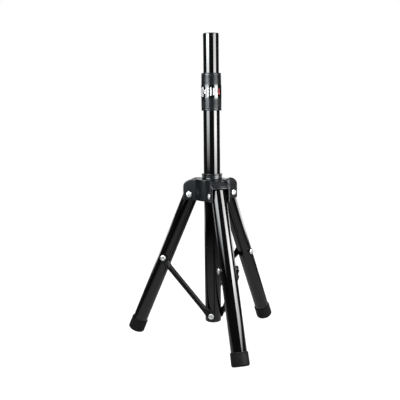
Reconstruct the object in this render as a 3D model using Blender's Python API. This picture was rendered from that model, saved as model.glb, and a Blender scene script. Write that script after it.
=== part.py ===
"""Speaker tripod stand with a 35 mm pole.

A two-stage pole stands in a plastic hub that slides on it. Three tube legs hang in
forks on the hub, each held apart by one brace that runs from the middle of the leg to
the foot of the pole. A twist sleeve clamps the inner tube at the height that is set.

Frame: metres, +Z up, floor at z = 0, origin at the middle of the stand's box on the floor.
The pole is upright, beside the origin, because the three legs make an uneven box.
Dimensions below are in millimetres and are scaled by MM when the mesh is made.
"""
import math

import bmesh
import bpy
from mathutils import Matrix, Vector

MM = 0.001

# ---------------------------------------------------------------- driving dimensions
GAP = 0.3                    # running gap kept between neighbouring pieces
POLE_X = 27.66               # pole axis, from the middle of the stand's box
POLE_Y = 21.82

# pole
POLE_R = 18.7                # outer tube, outside radius
POLE_BORE = 17.8             # outer tube, inside radius
POLE_BOTTOM = 46.1           # lower end of the outer tube
POLE_TOP = 585.0             # upper end of the outer tube, inside the sleeve
INNER_R = 17.5               # 35 mm pole that takes the speaker
INNER_BORE = 16.3
INNER_BOTTOM = 78.0
TOP_Z = 703.1                # top face of the whole stand
PLUG_BOTTOM = 41.3           # underside of the pole's end plug
PIN_Z = 697.0                # row of pins that hold the top plug
PIN_AZIMUTH = 17.0           # first pin, the others follow at 90 degrees

# twist sleeve
SLEEVE_LOW = 533.7
SLEEVE_HIGH = 616.5
SLEEVE_R_LOW = 22.7
SLEEVE_R_MID = 22.8
SLEEVE_R_HIGH = 22.1
BAND_LOW = 560.8
BAND_HIGH = 589.8
BAND_R = 23.05
BAND_FLOOR_R = 22.1

# hub
HUB_LOW = 331.0
HUB_HIGH = 380.0
BARREL_R = 38.7
HUB_BORE = 21.8
FORK_HALF = 21.7             # half width over the cheeks
SLOT_HALF = 18.2             # half width between the cheeks
FORK_REACH = 63.5            # outer edge of the cheeks, from the pole axis
SLOT_FLOOR = 28.8            # inner end of the leg slot
SLOT_ROOF = 361.8
SHOULDER_R = 43.0            # where the cheek's top edge starts to curve down
SHOULDER_Z = 366.0           # where the curve meets the cheek's outer edge
COLLAR_R = 23.8
COLLAR_LOW = 380.6
COLLAR_HIGH = 391.6
KNOB_AZIMUTH = 106.8
KNOB_Z = 351.0

# legs
LEG_AZIMUTH = (166.8, 286.8, 46.8)
LEG_TILT = 23.3
PIVOT_R = 49.35              # leg hinge, distance from the pole axis
PIVOT_Z = 344.6
LEG_R = 17.3
LEG_BORE = 16.1
LEG_ABOVE = 10.0             # tube above the hinge
LEG_BELOW = 360.0            # tube below the hinge
MID_BOLT = 166.0             # brace bolt, down the leg from the hinge
FOOT_START = 338.6
FOOT_R = 19.7
FOOT_ROUND = 4.6             # rounding of the sole's edge
TILT = math.radians(LEG_TILT)
# the sole's rounded edge touches the floor, which sets the foot's length
FOOT_END = FOOT_ROUND + (PIVOT_Z - FOOT_ROUND
                         - (FOOT_R - FOOT_ROUND) * math.sin(TILT)) / math.cos(TILT)

# braces
BRACE_FOOT_Z = 57.5          # lower pivot, at the foot of the pole
BRACE_TUBE_R = 6.5
BRACE_FLAT_HALF = 9.0        # half width of the flattened ends
BRACE_IN = 19.0              # inner face of the flattened ends, from the leg plane
BRACE_FLAT = 2.8             # thickness of the flattened ends
BRACE_AXIS_N = 24.7          # axis of the round part, from the leg plane

# fasteners
BOLT_R = 3.0
HOLE_R = 3.3
HEAD_R = 6.5
HEAD_H = 2.3

SEG_POLE = 28
SEG_LEG = 24
SEG_SMALL = 12


# ---------------------------------------------------------------- start clean
for old in list(bpy.data.objects):
    bpy.data.objects.remove(old, do_unlink=True)


def material(name, colour, roughness, metallic):
    m = bpy.data.materials.new(name)
    m.use_nodes = True
    shader = m.node_tree.nodes["Principled BSDF"]
    shader.inputs["Base Color"].default_value = (*colour, 1.0)
    shader.inputs["Roughness"].default_value = roughness
    shader.inputs["Metallic"].default_value = metallic
    return m


GLOSS_BLACK = ("gloss_black_paint", (0.012, 0.012, 0.013), 0.16, 0.0)
SATIN_BLACK = ("satin_black_paint", (0.018, 0.018, 0.019), 0.38, 0.0)
HUB_PLASTIC = ("moulded_black_plastic", (0.035, 0.035, 0.037), 0.55, 0.0)
RUBBER = ("black_rubber", (0.014, 0.014, 0.015), 0.75, 0.0)
CHROME = ("bright_chrome", (0.78, 0.78, 0.79), 0.12, 1.0)
NATURAL_PLASTIC = ("dark_nylon", (0.05, 0.05, 0.052), 0.5, 0.0)
BAND_GLOSS = ("glossy_band", (0.02, 0.02, 0.022), 0.12, 0.0)


# ---------------------------------------------------------------- mesh helpers
def finish(name, bm, mat, angle=35.0):
    """Turn a bmesh in millimetres into a smooth shaded object in metres."""
    bmesh.ops.remove_doubles(bm, verts=bm.verts, dist=1e-4)
    bmesh.ops.recalc_face_normals(bm, faces=bm.faces)
    bmesh.ops.scale(bm, vec=(MM, MM, MM), verts=bm.verts)
    mesh = bpy.data.meshes.new(name)
    bm.to_mesh(mesh)
    bm.free()
    obj = bpy.data.objects.new(name, mesh)
    bpy.context.scene.collection.objects.link(obj)
    if mat is not None:
        mesh.materials.append(material(name + "_" + mat[0], *mat[1:]))
    mesh.shade_smooth()
    mesh.set_sharp_from_angle(angle=math.radians(angle))
    return obj


def lathe_mesh(profile, segments, closed=True):
    """Spin (radius, height) points round Z. A closed profile makes a ring."""
    bm = bmesh.new()
    verts = [bm.verts.new((r, 0.0, z)) for r, z in profile]
    edges = [bm.edges.new((verts[i], verts[i + 1])) for i in range(len(verts) - 1)]
    if closed:
        edges.append(bm.edges.new((verts[-1], verts[0])))
    bmesh.ops.spin(bm, geom=verts + edges, cent=(0, 0, 0), axis=(0, 0, 1),
                   angle=2 * math.pi, steps=segments, use_merge=True)
    bmesh.ops.remove_doubles(bm, verts=bm.verts, dist=1e-4)
    loose = [e for e in bm.edges if not e.link_faces]
    bmesh.ops.delete(bm, geom=loose, context="EDGES")
    bmesh.ops.recalc_face_normals(bm, faces=bm.faces)
    return bm


def box_mesh(x0, x1, y0, y1, z0, z1):
    bm = bmesh.new()
    bmesh.ops.create_cube(bm, size=1.0)
    bmesh.ops.scale(bm, vec=(x1 - x0, y1 - y0, z1 - z0), verts=bm.verts)
    bmesh.ops.translate(bm, vec=((x0 + x1) / 2, (y0 + y1) / 2, (z0 + z1) / 2), verts=bm.verts)
    return bm


def prism_mesh(outline, low, high):
    """Outline in X and Z, extruded along Y from low to high."""
    bm = bmesh.new()
    face = bm.faces.new([bm.verts.new((x, low, z)) for x, z in outline])
    grown = bmesh.ops.extrude_face_region(bm, geom=[face])
    top = [g for g in grown["geom"] if isinstance(g, bmesh.types.BMVert)]
    bmesh.ops.translate(bm, vec=(0, high - low, 0), verts=top)
    bmesh.ops.recalc_face_normals(bm, faces=bm.faces)
    return bm


def cylinder_y(radius, low, high, x=0.0, z=0.0, segments=SEG_SMALL):
    """A plain cylinder along Y."""
    bm = bmesh.new()
    bmesh.ops.create_cone(bm, cap_ends=True, segments=segments, radius1=radius,
                          radius2=radius, depth=high - low)
    bmesh.ops.rotate(bm, cent=(0, 0, 0), matrix=Matrix.Rotation(math.radians(90), 3, "X"),
                     verts=bm.verts)
    bmesh.ops.translate(bm, vec=(x, (low + high) / 2, z), verts=bm.verts)
    return bm


def cylinder_x(radius, low, high, y=0.0, z=0.0, segments=SEG_SMALL):
    bm = bmesh.new()
    bmesh.ops.create_cone(bm, cap_ends=True, segments=segments, radius1=radius,
                          radius2=radius, depth=high - low)
    bmesh.ops.rotate(bm, cent=(0, 0, 0), matrix=Matrix.Rotation(math.radians(90), 3, "Y"),
                     verts=bm.verts)
    bmesh.ops.translate(bm, vec=((low + high) / 2, y, z), verts=bm.verts)
    return bm


def turn(bm, degrees):
    bmesh.ops.rotate(bm, cent=(0, 0, 0),
                     matrix=Matrix.Rotation(math.radians(degrees), 3, "Z"), verts=bm.verts)
    return bm


def boolean(obj, tool_bm, operation):
    """Apply one exact Boolean and drop the tool."""
    tool = finish("tool", tool_bm, None)
    tool.hide_render = True
    tool.display_type = "WIRE"
    mod = obj.modifiers.new("cut", "BOOLEAN")
    mod.object = tool
    mod.operation = operation
    mod.solver = "EXACT"
    graph = bpy.context.evaluated_depsgraph_get()
    graph.update()
    mesh = bpy.data.meshes.new_from_object(obj.evaluated_get(graph))
    obj.modifiers.clear()
    old = obj.data
    obj.data = mesh
    mesh.name = old.name
    bpy.data.meshes.remove(old)
    tool_mesh = tool.data
    bpy.data.objects.remove(tool, do_unlink=True)
    bpy.data.meshes.remove(tool_mesh)
    return obj


def tidy(obj, angle=35.0):
    """Weld and clean a cut mesh, then shade it again."""
    bm = bmesh.new()
    bm.from_mesh(obj.data)
    bmesh.ops.remove_doubles(bm, verts=bm.verts, dist=2e-6)
    bmesh.ops.dissolve_degenerate(bm, edges=bm.edges, dist=1e-6)
    bm.to_mesh(obj.data)
    bm.free()
    obj.data.shade_smooth()
    obj.data.set_sharp_from_angle(angle=math.radians(angle))
    return obj


def empty(name, location=(0, 0, 0), rotation=(0, 0, 0), parent=None):
    e = bpy.data.objects.new(name, None)
    e.empty_display_size = 0.02
    e.location = Vector(location) * MM
    e.rotation_euler = rotation
    bpy.context.scene.collection.objects.link(e)
    if parent is not None:
        e.parent = parent
    return e


def attach(obj, parent):
    obj.parent = parent
    return obj


def arc(cx, cz, rx, rz, start, end, steps):
    """Points on an ellipse arc, angles in degrees."""
    out = []
    for i in range(steps + 1):
        a = math.radians(start + (end - start) * i / steps)
        out.append((cx + rx * math.cos(a), cz + rz * math.sin(a)))
    return out


# ---------------------------------------------------------------- frames
pole_frame = empty("pole_frame", (POLE_X, POLE_Y, 0.0))
inner_frame = empty("inner_pole_slide", (0, 0, INNER_BOTTOM), parent=pole_frame)
sleeve_frame = empty("sleeve_hinge", (0, 0, SLEEVE_LOW), parent=pole_frame)
hub_frame = empty("hub_slide", (0, 0, PIVOT_Z), parent=pole_frame)
leg_frames = []
brace_frames = []
mid_r = PIVOT_R + MID_BOLT * math.sin(math.radians(LEG_TILT))
mid_z = PIVOT_Z - MID_BOLT * math.cos(math.radians(LEG_TILT))
BRACE_LENGTH = math.hypot(mid_r, mid_z - BRACE_FOOT_Z)
BRACE_TILT = math.degrees(math.atan2(mid_r, mid_z - BRACE_FOOT_Z))
for number, azimuth in enumerate(LEG_AZIMUTH, start=1):
    a = math.radians(azimuth)
    leg_frames.append(empty(
        "leg_hinge_%d" % number,
        (PIVOT_R * math.cos(a), PIVOT_R * math.sin(a), 0.0),
        (0.0, -math.radians(LEG_TILT), a), parent=hub_frame))
    brace_frames.append(empty(
        "brace_hinge_%d" % number, (0, 0, BRACE_FOOT_Z),
        (0.0, math.radians(BRACE_TILT), a), parent=pole_frame))


# ---------------------------------------------------------------- pole
def tube(name, outer, bore, low, high, mat, segments):
    bm = lathe_mesh([(outer, high), (outer, low), (bore, low), (bore, high)], segments)
    return finish(name, bm, mat)


outer_tube = tube("outer_tube", POLE_R, POLE_BORE, POLE_BOTTOM, POLE_TOP, GLOSS_BLACK, SEG_POLE)
for azimuth in LEG_AZIMUTH:
    boolean(outer_tube, turn(cylinder_y(2.7, 8, 24, z=BRACE_FOOT_Z, segments=12), azimuth),
            "DIFFERENCE")
attach(tidy(outer_tube), pole_frame)

# end plug: rounded base outside the tube, body inside it, three screw holes
profile = [(0.0, PLUG_BOTTOM)]
profile += arc(POLE_R - 3.6, PLUG_BOTTOM + 3.6, 3.6, 3.6, -90, 0, 4)
profile += [(POLE_R, POLE_BOTTOM - GAP), (POLE_BORE - GAP, POLE_BOTTOM - GAP),
            (POLE_BORE - GAP, 67.5), (POLE_BORE - 1.8, 69.0), (0.0, 69.0)]
end_plug = finish("pole_end_plug", lathe_mesh(profile, SEG_POLE, closed=False), NATURAL_PLASTIC)
for azimuth in LEG_AZIMUTH:
    boolean(end_plug, turn(cylinder_y(2.5, 8.5, 24, z=BRACE_FOOT_Z, segments=12), azimuth),
            "DIFFERENCE")
attach(tidy(end_plug), pole_frame)

# threaded ferrule that is fixed round the top of the outer tube
profile = [(POLE_R + GAP, 556.0), (POLE_R + GAP, POLE_TOP), (20.2, POLE_TOP),
           (20.6, POLE_TOP - 1.0), (20.6, 556.0)]
ferrule = finish("threaded_ferrule", lathe_mesh(profile, SEG_POLE), NATURAL_PLASTIC, 25)
attach(ferrule, pole_frame)

# split collet above the ferrule, squeezed by the sleeve onto the inner tube
profile = [(INNER_R + GAP, 585.6), (20.5, 585.6), (20.5, 594.0), (19.4, 604.0),
           (INNER_R + GAP, 604.0)]
collet = finish("collet", lathe_mesh(profile, SEG_POLE), NATURAL_PLASTIC, 25)
boolean(collet, box_mesh(15, 24, -0.9, 0.9, 580, 610), "DIFFERENCE")
attach(tidy(collet), pole_frame)

# inner tube with its pin holes
inner_tube = tube("inner_tube", INNER_R, INNER_BORE, INNER_BOTTOM, TOP_Z - 1.5, GLOSS_BLACK,
                  SEG_POLE)
for i in range(4):
    boolean(inner_tube, turn(cylinder_x(1.6, 12, 20, z=PIN_Z, segments=8),
                             PIN_AZIMUTH + 90 * i), "DIFFERENCE")
tidy(inner_tube)
inner_tube.data.transform(Matrix.Translation((0, 0, -INNER_BOTTOM * MM)))
attach(inner_tube, inner_frame)

# guide bush at the foot of the inner tube
low = INNER_BOTTOM
profile = [(INNER_R, low - GAP), (INNER_R, low - 5.2), (INNER_R - 0.8, low - 6.0),
           (12.0, low - 6.0), (12.0, low + 18.0), (INNER_BORE - GAP, low + 18.0),
           (INNER_BORE - GAP, low - GAP)]
guide = finish("inner_guide_bush", lathe_mesh([(r, z - low) for r, z in profile], SEG_POLE),
               NATURAL_PLASTIC)
attach(guide, inner_frame)

# top plug: thin flange on the tube end, body inside, blind pin holes
profile = [(0.0, TOP_Z - 20.0), (INNER_BORE - GAP, TOP_Z - 20.0),
           (INNER_BORE - GAP, TOP_Z - 1.2), (INNER_R - 0.1, TOP_Z - 1.2),
           (INNER_R - 0.1, TOP_Z - 0.5), (INNER_R - 0.6, TOP_Z), (0.0, TOP_Z)]
top_plug = finish("top_plug", lathe_mesh(profile, SEG_POLE, closed=False), NATURAL_PLASTIC)
for i in range(4):
    boolean(top_plug, turn(cylinder_x(1.6, 12.2, 20, z=PIN_Z, segments=8),
                           PIN_AZIMUTH + 90 * i), "DIFFERENCE")
tidy(top_plug)
top_plug.data.transform(Matrix.Translation((0, 0, -INNER_BOTTOM * MM)))
attach(top_plug, inner_frame)

for i in range(4):
    # pin: shank through the tube wall into the plug, low domed head outside
    profile = [(0.0, 12.6), (1.3, 12.6), (1.3, INNER_R + GAP), (2.0, INNER_R + GAP),
               (1.6, INNER_R + 0.8), (0.0, INNER_R + 0.95)]
    bm = lathe_mesh(profile, 8, closed=False)
    bmesh.ops.rotate(bm, cent=(0, 0, 0), matrix=Matrix.Rotation(math.radians(90), 3, "Y"),
                     verts=bm.verts)
    turn(bm, PIN_AZIMUTH + 90 * i)
    bmesh.ops.translate(bm, vec=(0, 0, PIN_Z - INNER_BOTTOM), verts=bm.verts)
    attach(finish("top_pin_%d" % (i + 1), bm, SATIN_BLACK), inner_frame)


# ---------------------------------------------------------------- twist sleeve
def sleeve_radius(z):
    """Outside radius of the sleeve: widest a third of the way up, slimmer at the top."""
    t = (z - SLEEVE_LOW) / (SLEEVE_HIGH - SLEEVE_LOW)
    if t < 0.33:
        return SLEEVE_R_LOW + (SLEEVE_R_MID - SLEEVE_R_LOW) * t / 0.33
    return SLEEVE_R_MID + (SLEEVE_R_HIGH - SLEEVE_R_MID) * (t - 0.33) / 0.67


lo, hi = SLEEVE_LOW, SLEEVE_HIGH
profile = [(19.1, lo), (sleeve_radius(lo) - 0.5, lo), (sleeve_radius(lo) + 0.1, lo + 0.7),
           (sleeve_radius(lo) + 0.1, lo + 2.8), (sleeve_radius(lo) - 0.4, lo + 3.4),
           (sleeve_radius(lo + 5), lo + 4.8), (sleeve_radius(BAND_LOW), BAND_LOW - GAP), (BAND_FLOOR_R, BAND_LOW - GAP),
           (BAND_FLOOR_R, BAND_HIGH + GAP), (sleeve_radius(BAND_HIGH), BAND_HIGH + GAP),
           (sleeve_radius(hi - 4), hi - 3.6), (sleeve_radius(hi) - 0.35, hi - 2.6),
           (sleeve_radius(hi) + 0.15, hi - 2.0), (sleeve_radius(hi) + 0.15, hi - 0.7),
           (sleeve_radius(hi) - 0.5, hi), (INNER_R + 0.4, hi), (INNER_R + 0.4, 605.5),
           (20.0, 604.6), (21.0, 594.3), (21.0, 553.0), (19.1, 551.0)]
sleeve = finish("twist_sleeve", lathe_mesh([(r, z - lo) for r, z in profile], 32), HUB_PLASTIC, 30)
attach(sleeve, sleeve_frame)

profile = [(BAND_FLOOR_R + GAP, BAND_LOW), (BAND_R, BAND_LOW), (BAND_R, BAND_HIGH),
           (BAND_FLOOR_R + GAP, BAND_HIGH)]
band = finish("label_band", lathe_mesh([(r, z - lo) for r, z in profile], 32), BAND_GLOSS, 50)
attach(band, sleeve_frame)


# ---------------------------------------------------------------- hub
def cheek_outline():
    """Side outline of a fork: level top, curved shoulder, upright outer edge."""
    pts = [(8.0, HUB_LOW), (FORK_REACH - 1.0, HUB_LOW), (FORK_REACH, HUB_LOW + 1.0)]
    width = FORK_REACH - SHOULDER_R
    height = HUB_HIGH - SHOULDER_Z
    # a shallow arc: the part of a large ellipse that joins the two edges
    for i in range(7):
        t = i / 6.0
        a = math.radians(90.0 * t)
        pts.append((SHOULDER_R + width * (0.62 * math.cos(a) + 0.38 * (1 - t)),
                    SHOULDER_Z + height * (0.62 * math.sin(a) + 0.38 * t)))
    pts.append((8.0, HUB_HIGH))
    return pts


hub = finish("hub", lathe_mesh([(0.0, HUB_LOW + 1.2), (BARREL_R - 1.2, HUB_LOW + 1.2),
                                (BARREL_R, HUB_LOW + 2.4), (BARREL_R, HUB_HIGH - 1.9),
                                (BARREL_R - 1.5, HUB_HIGH - 0.4), (0.0, HUB_HIGH - 0.4)],
                               36, closed=False), HUB_PLASTIC)
for azimuth in LEG_AZIMUTH:
    boolean(hub, turn(prism_mesh(cheek_outline(), -FORK_HALF, FORK_HALF), azimuth), "UNION")
# boss for the clamp screw, between two of the forks
boss = lathe_mesh([(0.0, 30.0), (10.5, 30.0), (10.5, 40.0), (9.0, 45.0), (0.0, 45.0)], 14,
                  closed=False)
bmesh.ops.rotate(boss, cent=(0, 0, 0), matrix=Matrix.Rotation(math.radians(90), 3, "Y"),
                 verts=boss.verts)
bmesh.ops.translate(boss, vec=(0, 0, KNOB_Z), verts=boss.verts)
boolean(hub, turn(boss, KNOB_AZIMUTH), "UNION")
for azimuth in LEG_AZIMUTH:
    # the valley between the cheeks leaves a domed hood over the leg's end
    valley_tool = finish("valley", box_mesh(27.0, 72.0, -SLOT_HALF + 0.1, SLOT_HALF - 0.1,
                                            364.8, 386.0), None)
    dome = bmesh.new()
    bmesh.ops.create_uvsphere(dome, u_segments=20, v_segments=12, radius=1.0)
    bmesh.ops.scale(dome, vec=(34.5, 18.6, 15.7), verts=dome.verts)
    bmesh.ops.translate(dome, vec=(27.5, 0, 364.2), verts=dome.verts)
    boolean(valley_tool, dome, "DIFFERENCE")
    bm = bmesh.new()
    bm.from_mesh(valley_tool.data)
    bmesh.ops.scale(bm, vec=(1 / MM, 1 / MM, 1 / MM), verts=bm.verts)
    bpy.data.objects.remove(valley_tool, do_unlink=True)
    boolean(hub, turn(bm, azimuth), "DIFFERENCE")
for azimuth in LEG_AZIMUTH:
    # straight lip along the outer edge of the hood
    lip = prism_mesh([(54.0, SLOT_ROOF - 0.6), (63.2, SLOT_ROOF - 0.6), (63.9, SLOT_ROOF + 0.1),
                      (63.9, SLOT_ROOF + 3.2), (63.1, SLOT_ROOF + 4.0), (54.0, SLOT_ROOF + 4.0)],
                     -SLOT_HALF - 0.5, SLOT_HALF + 0.5)
    boolean(hub, turn(lip, azimuth), "UNION")
for azimuth in LEG_AZIMUTH:
    boolean(hub, turn(box_mesh(SLOT_FLOOR, 80.0, -SLOT_HALF, SLOT_HALF, 320.0, SLOT_ROOF),
                      azimuth), "DIFFERENCE")
    boolean(hub, turn(cylinder_y(HOLE_R, -30, 30, x=PIVOT_R, z=PIVOT_Z), azimuth), "DIFFERENCE")
bore = bmesh.new()
bmesh.ops.create_cone(bore, cap_ends=True, segments=SEG_POLE, radius1=HUB_BORE, radius2=HUB_BORE,
                      depth=100.0)
bmesh.ops.translate(bore, vec=(0, 0, 355.0), verts=bore.verts)
boolean(hub, bore, "DIFFERENCE")
boolean(hub, turn(cylinder_x(4.3, 12, 60, z=KNOB_Z), KNOB_AZIMUTH), "DIFFERENCE")
tidy(hub)
hub.data.transform(Matrix.Translation((0, 0, -PIVOT_Z * MM)))
attach(hub, hub_frame)

# flanged bush: the collar on top of the hub and the bearing inside it
profile = [(POLE_R + GAP, COLLAR_HIGH - 0.6), (POLE_R + 0.9, COLLAR_HIGH),
           (COLLAR_R - 0.7, COLLAR_HIGH), (COLLAR_R, COLLAR_HIGH - 0.7),
           (COLLAR_R, COLLAR_HIGH - 2.2), (COLLAR_R - 0.8, COLLAR_HIGH - 3.0),
           (COLLAR_R - 0.8, COLLAR_LOW + 1.2), (COLLAR_R - 0.2, COLLAR_LOW),
           (HUB_BORE - GAP, COLLAR_LOW), (HUB_BORE - GAP, 334.5), (POLE_R + GAP, 334.5)]
bush = finish("hub_collar", lathe_mesh(profile, SEG_POLE), HUB_PLASTIC, 30)
boolean(bush, turn(cylinder_x(4.3, 12, 30, z=KNOB_Z), KNOB_AZIMUTH), "DIFFERENCE")
tidy(bush)
bush.data.transform(Matrix.Translation((0, 0, -PIVOT_Z * MM)))
attach(bush, hub_frame)

# clamp: pad against the pole, screw through the hub, lobed knob outside
knob_frame = empty("knob_hinge", (0, 0, KNOB_Z - PIVOT_Z),
                   (0, 0, math.radians(KNOB_AZIMUTH)), parent=hub_frame)
pad = finish("clamp_pad", turn(cylinder_x(3.9, POLE_R + GAP, 22.6, z=KNOB_Z - PIVOT_Z,
                                          segments=14), KNOB_AZIMUTH), NATURAL_PLASTIC)
attach(pad, hub_frame)
stud = finish("clamp_screw", cylinder_x(3.9, 22.9, 52.0, segments=14), CHROME)
attach(stud, knob_frame)


def knob_outline(lobes, radius, depth, steps):
    pts = []
    for i in range(steps):
        a = 2 * math.pi * i / steps
        pts.append((radius - depth * (0.5 - 0.5 * math.cos(lobes * a)), a))
    return [(r * math.cos(a), r * math.sin(a)) for r, a in pts]


bm = bmesh.new()
face = bm.faces.new([bm.verts.new((48.0, y, z)) for y, z in knob_outline(5, 16.5, 3.2, 30)])
grown = bmesh.ops.extrude_face_region(bm, geom=[face])
front = [g for g in grown["geom"] if isinstance(g, bmesh.types.BMVert)]
bmesh.ops.translate(bm, vec=(13.0, 0, 0), verts=front)
bmesh.ops.recalc_face_normals(bm, faces=bm.faces)
knob = finish("clamp_knob", bm, HUB_PLASTIC, 40)
neck = lathe_mesh([(0.0, 45.6), (8.0, 45.6), (8.0, 50.0), (0.0, 50.0)], 20, closed=False)
bmesh.ops.rotate(neck, cent=(0, 0, 0), matrix=Matrix.Rotation(math.radians(90), 3, "Y"),
                 verts=neck.verts)
boolean(knob, neck, "UNION")
boolean(knob, cylinder_x(4.2, 40, 52.4), "DIFFERENCE")
attach(tidy(knob), knob_frame)


# ---------------------------------------------------------------- fasteners along Y
def place_y(bm, x, z):
    """Stand a piece that was turned round Z along Y instead, at (x, z)."""
    bmesh.ops.rotate(bm, cent=(0, 0, 0), matrix=Matrix.Rotation(math.radians(-90), 3, "X"),
                     verts=bm.verts)
    bmesh.ops.translate(bm, vec=(x, 0, z), verts=bm.verts)
    return bm


def dome_points(seat, side):
    """Pan head: short rim, then a low dome. side is +1 or -1."""
    pts = [(HEAD_R, seat), (HEAD_R, seat + 0.9 * side), (HEAD_R - 1.6, seat + 1.9 * side),
           (0.0, seat + HEAD_H * side)]
    return pts


def bolt(name, seat, end, shank, x, z, mat=CHROME):
    """Pan head bolt along +Y: head above seat, shank down to end."""
    profile = [(0.0, end), (shank, end), (shank, seat)]
    profile += dome_points(seat, 1)
    return finish(name, place_y(lathe_mesh(profile, SEG_SMALL, closed=False), x, z), mat, 40)


def cap_nut(name, seat, x, z, mat=CHROME):
    """Low domed nut on the -Y side, seat is negative, blind bore towards the bolt."""
    profile = [(HOLE_R, seat)] + dome_points(seat, -1) + [(0.0, seat - 1.2), (HOLE_R, seat - 1.2)]
    return finish(name, place_y(lathe_mesh(profile, SEG_SMALL, closed=True), x, z), mat, 40)


seat = FORK_HALF + GAP
for number, azimuth in enumerate(LEG_AZIMUTH, start=1):
    a = math.radians(azimuth)
    bolt_frame = empty("hub_bolt_frame_%d" % number,
                       (PIVOT_R * math.cos(a), PIVOT_R * math.sin(a), 0.0), (0, 0, a),
                       parent=hub_frame)
    attach(bolt("hub_bolt_%d" % number, seat, -seat - 0.8, BOLT_R, 0, 0), bolt_frame)
    attach(cap_nut("hub_nut_%d" % number, -seat, 0, 0), bolt_frame)


# ---------------------------------------------------------------- legs
def saddle(name, radius, flat, side, z):
    """Round spacer with a hollow seat that fits the leg tube. side is +1 or -1."""
    obj = finish(name, cylinder_y(radius, min(side * 13.0, side * flat),
                                  max(side * 13.0, side * flat), z=z, segments=14),
                 NATURAL_PLASTIC, 40)
    leg = bmesh.new()
    bmesh.ops.create_cone(leg, cap_ends=True, segments=32, radius1=LEG_R + GAP + 0.1,
                          radius2=LEG_R + GAP + 0.1, depth=60.0)
    bmesh.ops.translate(leg, vec=(0, 0, z), verts=leg.verts)
    boolean(obj, leg, "DIFFERENCE")
    boolean(obj, cylinder_y(HOLE_R, -30, 30, z=z), "DIFFERENCE")
    return tidy(obj, 40)


for number in (1, 2, 3):
    frame = leg_frames[number - 1]
    leg = tube("leg_tube_%d" % number, LEG_R, LEG_BORE, -LEG_BELOW, LEG_ABOVE, SATIN_BLACK,
               SEG_LEG)
    boolean(leg, cylinder_y(HOLE_R, -30, 30), "DIFFERENCE")
    boolean(leg, cylinder_y(HOLE_R, -30, 30, z=-MID_BOLT), "DIFFERENCE")
    attach(tidy(leg), frame)

    profile = [(0.0, -22.0), (LEG_BORE - GAP, -22.0), (LEG_BORE - GAP, 7.0),
               (LEG_BORE - 3.3, 9.6), (0.0, 9.8)]
    insert = finish("leg_insert_%d" % number, lathe_mesh(profile, SEG_LEG, closed=False),
                    NATURAL_PLASTIC)
    boolean(insert, cylinder_y(HOLE_R, -30, 30), "DIFFERENCE")
    attach(tidy(insert), frame)

    # foot: rubber cup over the tube end, rounded sole with a shallow recess
    sole = -FOOT_END
    profile = [(LEG_R + GAP, -FOOT_START), (FOOT_R, -FOOT_START)]
    profile += arc(FOOT_R - FOOT_ROUND, sole + FOOT_ROUND, FOOT_ROUND, FOOT_ROUND, 0, -90, 4)
    profile += [(9.0, sole), (8.0, sole + 1.0), (0.0, sole + 1.0)]
    profile += [(0.0, -LEG_BELOW - GAP), (LEG_R + GAP, -LEG_BELOW - GAP)]
    bm = lathe_mesh(profile, SEG_LEG, closed=True)
    attach(finish("foot_%d" % number, bm, RUBBER), frame)

    # brace bolt from the far side, through the tube and its two saddles, ending just
    # short of the brace, whose own binding nut turns on it
    leg_bolt = lathe_mesh([(0.0, BRACE_IN - 0.5), (BOLT_R, BRACE_IN - 0.5), (BOLT_R, -21.9)]
                          + dome_points(-21.9, -1), SEG_SMALL, closed=False)
    attach(finish("leg_bolt_%d" % number, place_y(leg_bolt, 0, -MID_BOLT), CHROME, 40), frame)
    attach(saddle("leg_spacer_%d" % number, 6.9, 21.6, -1, -MID_BOLT), frame)
    attach(saddle("brace_washer_%d" % number, 7.6, BRACE_IN - GAP, 1, -MID_BOLT), frame)


# ---------------------------------------------------------------- braces
def blend(a, b, t):
    t = max(0.0, min(1.0, t))
    t = t * t * (3 - 2 * t)
    return a + (b - a) * t


def brace_mesh(length):
    """Round tube with both ends pressed flat, lofted from sections along Z."""
    sides = 12
    stations = []
    for i in range(5):                                   # round end, quarter turn
        a = math.radians(10 + 80 * i / 4)
        stations.append(-BRACE_FLAT_HALF * math.cos(a))
    stations += [9.0, 14.0, 18.5, 23.0, 28.0]
    stations += [length - s for s in reversed(stations)]
    rings = []
    bm = bmesh.new()
    for s in stations:
        near = min(s, length - s)
        t = (near - 9.0) / 19.0
        half = blend(BRACE_FLAT_HALF, BRACE_TUBE_R, t)
        if near < 0:
            half = math.sqrt(max(BRACE_FLAT_HALF ** 2 - near ** 2, 0.0))
        thick = blend(BRACE_FLAT / 2, BRACE_TUBE_R, t)
        centre = blend(BRACE_IN + BRACE_FLAT / 2, BRACE_AXIS_N, t)
        power = blend(0.35, 1.0, t)
        ring = []
        for k in range(sides):
            a = 2 * math.pi * (k + 0.5) / sides
            c, d = math.cos(a), math.sin(a)
            x = half * math.copysign(abs(c) ** power, c)
            y = centre + thick * math.copysign(abs(d) ** power, d)
            ring.append(bm.verts.new((x, y, s)))
        rings.append(ring)
    for low_ring, high_ring in zip(rings, rings[1:]):
        for k in range(sides):
            j = (k + 1) % sides
            bm.faces.new((low_ring[k], low_ring[j], high_ring[j], high_ring[k]))
    bm.faces.new(list(reversed(rings[0])))
    bm.faces.new(rings[-1])
    bmesh.ops.recalc_face_normals(bm, faces=bm.faces)
    return bm


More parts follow.
